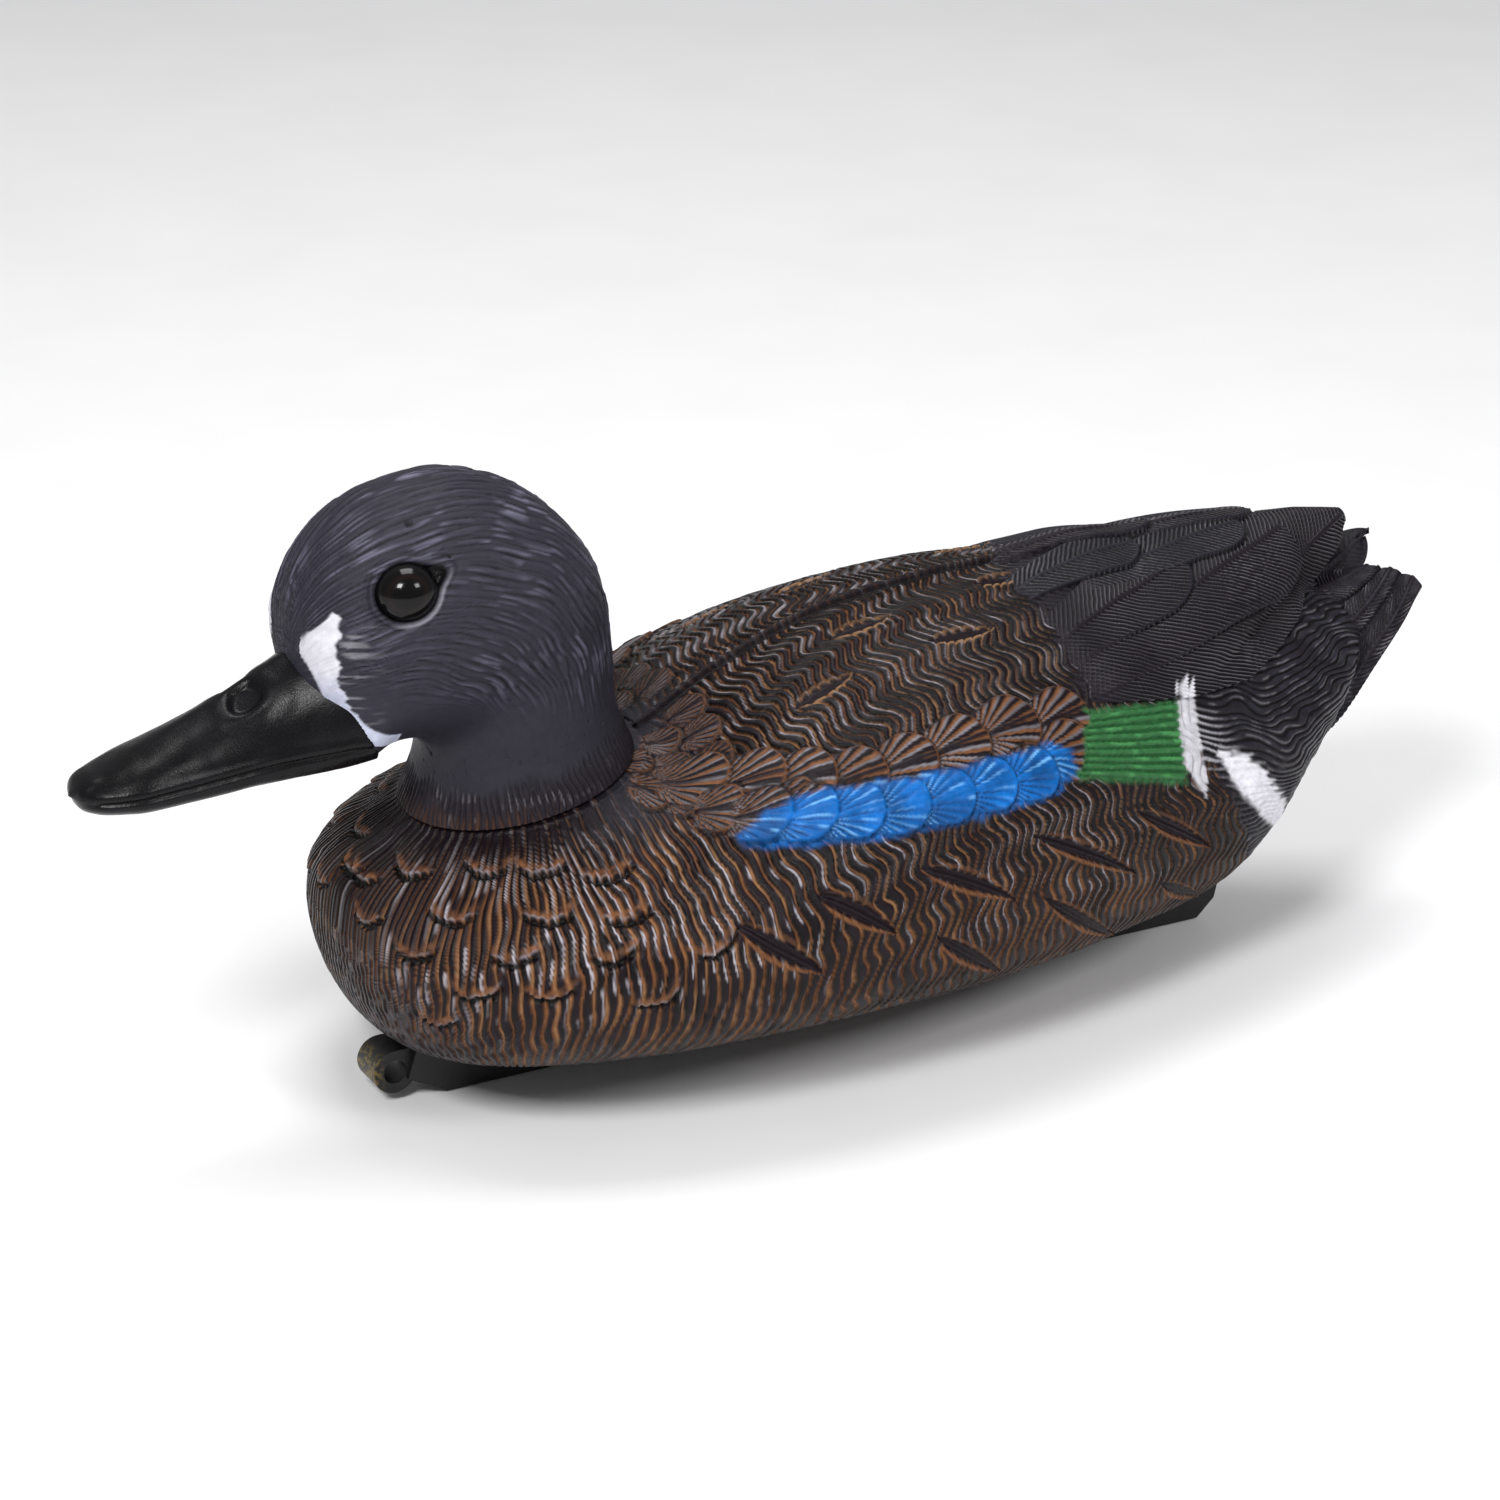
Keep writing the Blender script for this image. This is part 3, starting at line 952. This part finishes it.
def tail_side(name, sign, seed, material):
    """One half of the cocked tail: three feathers side by side, from the rump to rounded tips."""
    inner_edge = [(118, -1, 82), (130, -1.5, 80), (140, -2.5, 78), (149, -3.5, 77.6)]
    outer_edge = [(126, -19, 42), (135.5, -21, 51), (144, -20.5, 61), (152, -19.5, 70),
                  (157.9, -17.5, 77.2)]
    root_edge = [(118, -1, 82), (121, -16, 60), (126, -19, 42)]
    tip_edge = [(149, -3.5, 77.6), (152.5, -6, 78.3), (155.2, -10, 78.8), (157.4, -15, 78.5),
                (157.9, -17.5, 77.2)]
    length, span = 46, 44
    u, v = np.linspace(0, 1, int(length / 0.34)), np.linspace(0, 1, int(span / 0.36))
    i_line, o_line = along_line(inner_edge, u), along_line(outer_edge, u)
    r_line, t_line = along_line(root_edge, v), along_line(tip_edge, v)
    uu, vv = np.meshgrid(u, v, indexing="ij")
    lobe = np.abs(vv * 3 % 1 - 0.5) * 2
    uu = uu * (1 - 0.075 * lobe ** 3 - 0.03 * (vv < 0.34))
    a, b = uu[..., None], vv[..., None]
    # A patch between its four edges.
    p = ((1 - b) * i_line[:, None] + b * o_line[:, None] + (1 - a) * r_line[None] + a * t_line[None]
         - (1 - a) * (1 - b) * r_line[0] - (1 - a) * b * r_line[-1]
         - a * (1 - b) * t_line[0] - a * b * t_line[-1])
    p[..., 1] -= 3.0 * np.sin(math.pi * vv) * np.sin(math.pi * np.clip(uu * 0.9 + 0.1, 0, 1))
    p[..., 1] *= -sign
    n = patch_normals(p)
    n *= np.sign((n[..., 1] * sign).mean())
    s = Skin(p, n, vv, np.full(uu.shape, float(sign)))
    width = np.linalg.norm(i_line - o_line, axis=1)[:, None]
    reach = uu * length
    s.c[:] = CHARCOAL * 1.1
    s.r[:] = 0.03
    lean = vv + 0.03 * uu
    whole = 1 - step(0.9, 0.97, uu + 0.075 * lobe ** 3)
    for k, (shaft, low, high) in enumerate(((0.84, 0.62, 1.01), (0.50, 0.30, 0.66), (0.17, -0.01, 0.36))):
        middle = shaft + 0.05 * (1 - uu)
        b = (vv - middle) * width
        off = np.abs(b)
        mine = step(low - 0.01, low + 0.01, lean) * (1 - step(high - 0.01, high + 0.01, lean))
        barb = (reach - off * 1.1) / 1.45 + 0.3 * noise(seed + k, reach / 3, b / 3)
        cut = strokes(barb, 0.24) * step(0.25, 0.8, off) * whole
        crest = strokes(barb + 0.3, 0.15) * step(0.25, 0.8, off) * whole
        height = 0.5 * k - 0.4 * cut + 0.4 * (1 - step(0.25, 0.7, off)) + 0.5 * (vv - low)
        s.h += (height - s.h) * mine
        s.paint(CHARCOAL * 1.1, mine)
        s.paint(BLACK, mine * cut * 0.8)
        s.paint(SLATE, mine * (1 - cut) * np.clip(0.2 + 0.3 * noise(seed + 9, reach / 2.5, b / 2), 0, 1))
        s.paint(GLEAM, mine * crest * step(-0.2, 0.6, noise(seed + 5, reach / 3, b / 3)) * 0.3)
        brink = bell((lean - high) * width, 0.35) * (high < 1)
        s.h -= 0.4 * brink
        s.paint(BLACK, brink * 0.8)
    body = 2.6 - 1.2 * uu
    return slab(name, s, p - n * body[..., None], material)


# ---- head ----

def plain_mesh(skin):
    """Vertices and faces of a closed loft, for joining."""
    rows, cols = skin.x.shape
    verts = np.concatenate([skin.p.reshape(-1, 3), np.array(skin.poles, float)])
    faces = [(i * cols + j, i * cols + (j + 1) % cols, (i + 1) * cols + (j + 1) % cols, (i + 1) * cols + j)
             for i in range(rows - 1) for j in range(cols)]
    last = (rows - 1) * cols
    for j in range(cols):
        k = (j + 1) % cols
        faces += [(rows * cols, k, j), (rows * cols + 1, last + j, last + k)]
    return verts, faces


def neck_solid():
    """Vertices and faces of the neck, from below the seam up into the skull."""
    table = np.array(NECK, float)
    knots = table[:, 1] - table[0, 1]
    at = np.linspace(-7.0, knots[-1], 40)
    n = 64
    turn = np.linspace(0, 2 * math.pi, n, endpoint=False)
    rings = []
    for h in at:
        x, long, wide, tilt = [pchip(knots, table[:, k], np.array([max(h, 0.0)]))[0] for k in (0, 2, 3, 4)]
        tilt = math.radians(tilt)
        x += min(h, 0.0) * math.tan(tilt)
        rings.append(np.stack([x + long * np.cos(turn) * math.cos(tilt), wide * np.sin(turn),
                               table[0, 1] + h + long * np.cos(turn) * math.sin(tilt)], -1))
    last = len(at) - 1
    faces = [(i * n + j, i * n + (j + 1) % n, (i + 1) * n + (j + 1) % n, (i + 1) * n + j)
             for i in range(last) for j in range(n)]
    faces += [tuple(range(n))[::-1], tuple(last * n + j for j in range(n))]
    return np.concatenate(rings), faces


def solid(name, verts, faces):
    """A closed mesh object in millimetres, its faces turned outwards."""
    mesh = bpy.data.meshes.new(name)
    mesh.from_pydata([tuple(v) for v in verts], [], faces)
    change_mesh(mesh, lambda work: bmesh.ops.recalc_face_normals(work, faces=work.faces))
    return new_object(name, mesh)


def cut_plane(obj, point, normal):
    """Keeps the side of the plane that the normal points to, and caps the cut."""
    def cut(work):
        """Cuts along the plane and closes what is left."""
        got = bmesh.ops.bisect_plane(work, geom=work.verts[:] + work.edges[:] + work.faces[:],
                                     plane_co=Vector(point), plane_no=Vector(normal), clear_inner=True)
        edges = [e for e in got["geom_cut"] if isinstance(e, bmesh.types.BMEdge)]
        cap = bmesh.ops.contextual_create(work, geom=edges)
        bmesh.ops.triangulate(work, faces=cap["faces"])

    change_mesh(obj.data, cut)


def apply_modifiers(obj):
    """Puts the modifiers' result in place of the mesh."""
    graph = bpy.context.evaluated_depsgraph_get()
    mesh = bpy.data.meshes.new_from_object(obj.evaluated_get(graph))
    old = obj.data
    obj.modifiers.clear()
    obj.data = mesh
    bpy.data.meshes.remove(old)


def head_skin(material):
    """Head and neck down to the seam: skull, bill root and neck joined, evened, carved and painted."""
    root_rows = [(x, b - 0.5, r + 0.6, h + 0.7, w, p, q) for x, b, r, h, w, p, q in BILL[:4]]
    parts = [solid("skull_part", *plain_mesh(loft(SKULL, FOREHEAD_TIP, NAPE_TIP, 2.0, 40))),
             solid("root_part", *plain_mesh(loft(root_rows, None, None, 1.5, 40))),
             solid("neck_part", *neck_solid())]
    cut_plane(parts[1], SEAM_BILL, SEAM_BILL_NORMAL)
    verts, faces = [], []
    for part in parts:
        base = len(verts)
        verts += [tuple(v.co) for v in part.data.vertices]
        faces += [tuple(base + k for k in f.vertices) for f in part.data.polygons]
        bpy.data.objects.remove(part)
    mesh = bpy.data.meshes.new("head_skin")
    mesh.from_pydata(verts, [], faces)
    obj = new_object("head_skin", mesh)
    remesh = obj.modifiers.new("join", "REMESH")
    remesh.mode = "VOXEL"
    remesh.voxel_size = JOIN_VOXEL
    apply_modifiers(obj)
    relax(obj.data)
    fine = obj.modifiers.new("fine", "SUBSURF")
    fine.levels = fine.render_levels = 2
    apply_modifiers(obj)
    cut_plane(obj, SEAM + AXIS * 0.3, AXIS)
    mesh = obj.data
    p, n = values_of(mesh.vertices, "co", 3), values_of(mesh.vertices, "normal", 3)
    s = Skin(p, n, np.abs(p[:, 1]), np.sign(p[:, 1]))
    head_relief(s)
    s.h[(p - SEAM) @ AXIS < 0.35] = 0
    mesh.vertices.foreach_set("co", ((p + n * s.h[:, None]) * MM).ravel())
    mesh.update()
    mesh.shade_smooth()
    put_paint(mesh, s.c, s.r)
    side_uv(mesh, p)
    mesh.materials.clear()
    mesh.materials.append(material)
    return obj


def relax(mesh):
    """Evens the joined head, most where cheek and neck run into each other."""
    p = values_of(mesh.vertices, "co", 3)
    count = len(p)
    edges = values_of(mesh.edges, "vertices", 2, int)
    a, b = edges.T
    degree = np.bincount(edges.ravel(), minlength=count)[:, None]
    jaw = step(62, 74, p[:, 2]) * (1 - step(97, 108, p[:, 2])) * step(-100, -92, p[:, 0])
    for turn in range(JAW_ROUNDS):
        total = np.stack([np.bincount(a, p[b, k], count) + np.bincount(b, p[a, k], count)
                          for k in range(3)], 1)
        pull = np.where(turn < EVEN_ROUNDS, 0.5, 0.5 * jaw)[:, None]
        p += (total / degree - p) * pull
    mesh.vertices.foreach_set("co", p.ravel())
    mesh.update()


def side_uv(mesh, p):
    """Bake layout: left half and right half of the head, each laid flat."""
    low, high = p.min(0), p.max(0)
    loops = values_of(mesh.loops, "vertex_index", kind=int)
    starts = values_of(mesh.polygons, "loop_start", kind=int)
    totals = np.diff(np.append(starts, len(loops)))
    middle = np.add.reduceat(p[loops, 1], starts) / totals
    right = np.repeat(middle > 0, totals)
    u = (p[loops, 0] - low[0]) / (high[0] - low[0]) * 0.49 + np.where(right, 0.505, 0.005)
    v = (p[loops, 2] - low[2]) / (high[2] - low[2]) * 0.98 + 0.01
    layer = mesh.uv_layers.new(name="OFBake")
    layer.data.foreach_set("uv", np.stack([u, v], -1).astype(np.float32).ravel())


def crescent_mask(s):
    """White mark in front of the eye: wide at the top, narrow where it curls under the cheek."""
    z = s.z
    front = np.interp(z, [84, 86.5, 89, 92.5, 98, 103, 106, 109.5, 113, 116],
                      [-90.5, -100.5, -103.5, -105.5, -107.5, -109.3, -110.5, -109, -106.0, -104.0])
    rear = np.interp(z, [84, 85.5, 87, 88.5, 90, 94, 98, 103, 108, 112, 114, 116],
                     [-92.2, -92, -92.4, -96.8, -99.2, -102.2, -104.1, -104.8, -104.8, -103.9,
                      -104.5, -105.5])
    jag = 0.55 * noise(91, z / 1.1, s.y / 3) + 0.4 * noise(92, z / 0.5, s.y / 2)
    inner = np.minimum(s.x - front, rear - s.x + jag)
    return step(-0.25, 0.35, np.minimum(inner, 114.6 - z + 0.5 * jag)) * (np.abs(s.y) > 7.5) * (z > 84)


def head_relief(s):
    """Strokes, collar, face mark, eyelids and casting marks of the head."""
    x, y, z = s.x, s.y, s.z
    rel = s.p - SEAM
    level = rel @ AXIS
    turn = np.arctan2(rel[:, 1], -(rel[:, 0] + level * math.sin(TILT)))
    s.c[:] = SLATE
    # Short carved strokes that sweep from the bill over crown and cheek and down the nape.
    cx, cz = -90.0, 80.0
    radius = np.hypot((x - cx) * 0.95, z - cz)
    bearing = np.arctan2(z - cz, x - cx)
    flow = 22 * np.arctan2(np.abs(y), radius - 27) + 1.1 * noise(101, x / 9, z / 9 + np.sign(y))
    crown = step(104, 126, z)
    neck_quiet = step(6, 22, level) * step(84, 94, z + 0.25 * (x + 60))
    patch = 0.3 + 0.7 * step(-0.55, 0.25, noise(103, x / 10, z / 10 + np.sign(y) * 2, y / 12))
    sparse = step(-0.35, 0.45, noise(115, x / 6, z / 6 + np.sign(y), y / 6)) * patch
    for lane_width, seed, amount in ((1.15, 0.0, 1.0), (1.9, 5.0, 0.8)):
        lane = flow / lane_width + 0.35 * noise(109, radius * bearing / 7, flow / 7 + seed)
        which = np.floor(lane)
        part = lane - which
        run = radius * bearing / (12.0 + seed) + 7.3 * np.sin(which * 12.9 + seed)
        dash = np.clip(0.15 + np.sin(run * 2 * math.pi) + 0.5 * noise(102, x / 3, z / 3 + seed), 0, 1)
        ridge = step(0.35, 0.85, np.sin(math.pi * part) * np.sqrt(dash)) * patch * neck_quiet * amount
        valley = bell(part - np.round(part), 0.14) * neck_quiet * amount * (0.35 + 0.65 * dash)
        lit = bell(part - 0.68, 0.15) * step(0.2, 0.9, dash) * neck_quiet * amount * sparse
        s.h += 0.20 * ridge - 0.24 * valley
        s.paint(SLATE * 2.0, np.clip(ridge * 0.35, 0, 1))
        s.paint(BLACK, np.clip(valley * 0.7, 0, 1))
        s.paint(SLATE * 8, np.clip(lit * (0.30 + 0.34 * crown), 0, 1))
    cloud = noise(104, x / 9, y / 9, z / 9)
    s.paint(SLATE * 1.35, np.clip(0.25 * cloud, 0, 1) * step(90, 110, z))
    s.paint(SLATE * 0.72, np.clip(1 - step(76, 96, z), 0, 1) * 0.75)
    s.r[:] = 0.08
    # Collar: close upright ridges fading up into the smooth neck.
    wander = 1.5 * noise(105, turn * 9, level / 4)
    band = 1 - step(5.5, 9.0, level + wander)
    rib = strokes(turn * 16.0 + 0.35 * noise(106, turn * 14, level / 3), 0.3)
    s.h += band * (-0.5 * rib + 0.25 * (1 - step(0, 9, level)))
    s.paint(DARK * 1.1, band * (0.4 + 0.3 * (1 - step(2, 9, level))))
    brown = (1 - step(1, 4.5, level + wander)) * step(0.1, -0.6, rel[:, 0] / COLLAR_R)
    s.paint(BARK * 0.6, band * rib * 0.4 * brown)
    gleam = strokes(turn * 16.0 + 0.5, 0.14) * step(0.1, 0.7, noise(110, turn * 9, level / 2))
    s.paint(GLEAM, band * gleam * 0.13)
    pits = step(0.72, 0.95, noise(107, turn * 26, level / 1.1))
    s.h -= 0.4 * (pits * step(8, 11, level) * (1 - step(13, 17, level)))
    # White mark.
    white = crescent_mask(s)
    s.paint(WHITE * 0.8, white * (0.93 + 0.07 * cloud))
    s.paint(MARK_SHADE, white * (1 - step(94, 104, z + 2 * cloud)) * 0.65)
    s.h += 0.22 * white
    brush = step(0.3, 0.8, noise(108, z / 0.7, x / 6)) * (1 - step(0, 9, x + 104.0)) * (x > -104.8)
    s.paint(WHITE * 0.6, brush * 0.30 * (z > 88) * (z < 112) * (np.abs(y) > 8))
    # Eyelid: a raised rim, dark inside, pointed at the rear upper corner.
    for sign in (1, -1):
        centre = EYE * np.array([1, sign, 1])
        out = EYE_OUT * np.array([1, sign, 1])
        rear = unit(np.array([1.0, 0, 0.30]) - out * (np.array([1.0, 0, 0.30]) @ out))
        up = np.cross(rear, out) * -sign
        d = s.p - centre
        near = (np.linalg.norm(d, axis=1) < 16) & (s.y * centre[1] > 0)
        a, b = d[near] @ rear, d[near] @ (up if up[2] > 0 else -up)
        point = 1 + 0.42 * bell(np.arctan2(b, a) - 0.12, 0.30)
        q = np.hypot(a, b * 1.08) / point
        rim = bell(q - 7.1, 0.55)
        s.h[near] += 0.75 * rim - 0.9 * (1 - step(5.2, 6.5, q))
        s.paint(BLACK, 1 - step(6.2, 6.7, q), near)
        lower = rim * step(-0.2, -0.7, b / 7 - 0.35 * a / 7 + 0.1)
        s.paint(PALE * 1.2, lower * 0.55, near)
        s.r[near] -= 0.3 * (1 - step(6.2, 6.7, q))
        s.h[near] -= 0.25 * bell(q - 8.3, 0.5)
    # Small casting marks on crown and forehead.
    for px, py, pz, size in ((-87.7, -12.1, 129.4, 1.0), (-82, -19, 124, 0.5), (-76.5, -20.5, 125, 0.5)):
        gap = np.linalg.norm(s.p - np.array([px, py, pz]), axis=1)
        s.h -= 0.6 * size * (1 - step(0.4 * size, 1.3 * size, gap))
        s.paint(BLACK, 1 - step(0.3 * size, 1.2 * size, gap))


def bill_piece(material):
    """The bill, both mandibles in one moulding, with its nostrils, nail and mouth line."""
    s = loft(BILL, None, BILL_TIP, 0.5, 90)
    x, z = s.x, s.z
    keep = SEAM_BILL_NORMAL[0] * (x - SEAM_BILL[0]) + SEAM_BILL_NORMAL[2] * (z - SEAM_BILL[2])
    # Behind the seam the bill sinks inside the face.
    s.h -= 2.6 * step(1.0, 2.4, keep)
    # Crease between upper and lower mandible.
    crease = np.interp(x, [-155, -150, -143, -133, -122, -112, -103],
                       [80.0, 80.4, 80.9, 81.6, 82.6, 83.9, 85.2])
    groove = bell(z - crease, 0.55) * step(-155.5, -152, x) * (np.abs(s.y) > 3)
    s.h -= 0.75 * groove
    over = bell(z - crease - 1.5, 0.9) * (np.abs(s.y) > 3)
    s.h += 0.35 * over * step(-156, -150, x)
    # Nostrils.
    for sign in (1, -1):
        shape = np.hypot((x + 120.6) / 4.2, (z - 95.9 - 0.42 * (x + 120.6)) / 2.1)
        side = (s.y * sign > 0.8)
        s.h -= 1.3 * (1 - step(0.55, 1.0, shape)) * side
        s.h += 0.12 * bell(shape - 1.3, 0.3) * side
    # Nail at the tip.
    nail = step(-150.5, -153.5, x) * (z > 80.5) * step(5.5, 3.5, np.abs(s.y))
    s.h += 0.4 * nail
    # Flat mould line along the top and a shallow dish each side of it.
    s.h += 0.35 * bell(s.y, 2.2) * (z > crease) * step(-150, -140, x) * (1 - step(-113, -108, x))
    s.h += 0.05 * noise(111, x / 2.5, s.t / 2.5)
    s.c[:] = BILL_BLACK
    s.paint(SLATE * 0.7, np.clip(0.08 * noise(112, x / 5, s.t / 5) + 0.04, 0, 1))
    s.paint(BLACK, np.clip(groove, 0, 1) * 0.8)
    s.r[:] = -0.02 + 0.03 * noise(114, x / 4, s.t / 4)
    return closed_grid("bill", s, material)


def eye_piece(name, sign, material):
    """A domed glass-like eye, slightly longer than high, with a flat dark back."""
    centre = EYE * np.array([1, sign, 1])
    out = EYE_OUT * np.array([1, sign, 1])
    ahead = unit(np.array([1.0, 0, 0.15]) - out * (np.array([1.0, 0, 0.15]) @ out))
    up = np.cross(out, ahead)
    a, b = np.meshgrid(np.linspace(0.02, math.pi - 0.02, 48),
                       np.linspace(0, 2 * math.pi, 96, endpoint=False), indexing="ij")
    depth = 6.1 * np.cos(a)
    depth = np.where(depth > 0, depth * 0.98, depth * 0.7)
    r = 6.15 * np.sin(a) ** 0.94
    p = (centre + out * depth[..., None] + ahead * (r * np.cos(b) * 1.06)[..., None]
         + up * (r * np.sin(b) * 0.97)[..., None])
    n = unit(p - centre)
    s = Skin(p, n, r, np.ones(r.shape))
    s.poles = [tuple(centre + out * 6.0), tuple(centre - out * 4.27)]
    s.c[:] = EYE_BLACK
    ring_tone = bell(r - 3.6, 0.5) * (depth > 0)
    s.paint(EYE_BROWN, ring_tone * 0.5)
    s.r[:] = 0.0
    return closed_grid(name, s, material)


# ---- assembly ----

coats = {name: node_material(name + "_coat", None, *numbers) for name, numbers in {
    # variation, roughness, bump, scale, specular
    "body": (0.16, 0.31, 0.35, 600, 0.14), "wing": (0.16, 0.31, 0.35, 600, 0.13),
    "head": (0.10, 0.42, 0.30, 500, 0.13), "bill": (0.12, 0.30, 0.18, 400, 0.16),
    "eye": (0.25, 0.12, 0.0, 300, 0.22)}.items()}
form_skin = loft(WING_FORM, None, WING_FORM_TIP, 0.6, 160)
trunk_skin = loft(TRUNK, BREAST_TIP, TAIL_END, 1.0, 240)

for piece, body, node, slot_name in [
        (body_skin(coats["body"]), "body", "body_shell", "body_paint"),
        (wing_core(coats["wing"]), "body", "body_shell", "wing_paint"),
        (wing_plate(trunk_skin, form_skin, coats["wing"]), "body", "body_shell", "wing_paint"),
        (tail_spike(coats["wing"]), "body", "body_shell", "wing_paint"),
        (tail_side("tail_left", -1, 83, coats["wing"]), "body", "body_shell", "wing_paint"),
        (tail_side("tail_right", 1, 89, coats["wing"]), "body", "body_shell", "wing_paint"),
        (head_skin(coats["head"]), "head", "head_shell", "head_paint"),
        (bill_piece(coats["bill"]), "head", "head_shell", "bill_paint"),
        (eye_piece("eye_left", 1, coats["eye"]), "head", "left_eye", "eye_gloss"),
        (eye_piece("eye_right", -1, coats["eye"]), "head", "right_eye", "eye_gloss")]:
    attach(piece, body)
    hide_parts(node)

# Looks of the nodes carried over: colour, variation, roughness, bump, scale.
CAD_LOOKS = {
    "keel": ("#151416", 0.25, 0.38, 0.5, 500),
    "blow_hole_plug": ("#1c1a1b", 0.2, 0.5, 0.4, 700),
    "neck_washer": ("#26262a", 0.2, 0.55, 0.4, 900),
    "neck_retainer": ("#1d1c20", 0.2, 0.45, 0.4, 900),
    "ballast_bars": ("#4a4644", 0.35, 0.55, 0.8, 400),
    "keel_screws": ("#a9a8a6", 0.15, 0.28, 0.3, 900),
    "screw_seals": ("#202022", 0.2, 0.6, 0.4, 900),
}
for node, (code, *numbers) in CAD_LOOKS.items():
    look = node_material(node + "_look", tuple(ink(code)), *numbers)
    if node == "keel":
        overspray(look, -0.0935, ink("#6b5a22"))
    if node == "keel_screws":
        look.node_tree.nodes["Principled BSDF"].inputs["Metallic"].default_value = 1.0
    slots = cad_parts[node].data.materials
    slots.clear()
    slots.append(look)

# Floor, light, camera.
FLOOR_HALF, FLOOR_DROP = 6.0, 0.0004
floor_mesh = bpy.data.meshes.new("floor")
corners = [(x, y, -FLOOR_DROP) for x, y in ((-FLOOR_HALF, -FLOOR_HALF), (FLOOR_HALF, -FLOOR_HALF),
                                            (FLOOR_HALF, FLOOR_HALF), (-FLOOR_HALF, FLOOR_HALF))]
floor_mesh.from_pydata(corners, [], [(0, 1, 2, 3)])
floor = new_object("floor", floor_mesh)
floor_mesh.materials.append(node_material("floor_look", (0.92, 0.92, 0.93), 0.01, 0.6, 0.0, 3))

world = bpy.context.scene.world or bpy.data.worlds.new("studio")
bpy.context.scene.world = world
world.use_nodes = True
world.node_tree.nodes["Background"].inputs["Color"].default_value = (1, 1, 1, 1)
world.node_tree.nodes["Background"].inputs["Strength"].default_value = 0.33

SOFTBOXES = [("key", (-0.85, -0.75, 1.05), 0.35, 15), ("fill", (0.35, -1.15, 0.95), 0.35, 7),
             ("top", (0.1, 0.35, 1.5), 0.7, 11)]
for name, place, size, power in SOFTBOXES:
    light = bpy.data.lights.new(name, "AREA")
    light.shape = "RECTANGLE"
    light.size = light.size_y = size
    light.energy = power
    lamp = new_object(name, light)
    lamp.location = place
    aim = Vector((-0.01, 0, 0.06)) - Vector(place)
    lamp.rotation_euler = aim.to_track_quat("-Z", "Y").to_euler()

AZIMUTH, ELEVATION = math.radians(-28), math.radians(22)
CAMERA_AIM, CAMERA_DISTANCE = (-0.005, 0, 0.0615), 0.9
lens = bpy.data.cameras.new("camera")
lens.lens = 100.8
lens.sensor_width = 36
lens.dof.use_dof = False
camera = new_object("camera", lens)
back = Vector((math.sin(AZIMUTH) * math.cos(ELEVATION), -math.cos(AZIMUTH) * math.cos(ELEVATION),
               math.sin(ELEVATION)))
camera.location = Vector(CAMERA_AIM) + back * CAMERA_DISTANCE
camera.rotation_euler = (-back).to_track_quat("-Z", "Y").to_euler()
bpy.context.scene.camera = camera
bpy.context.scene.view_settings.view_transform = "Standard"
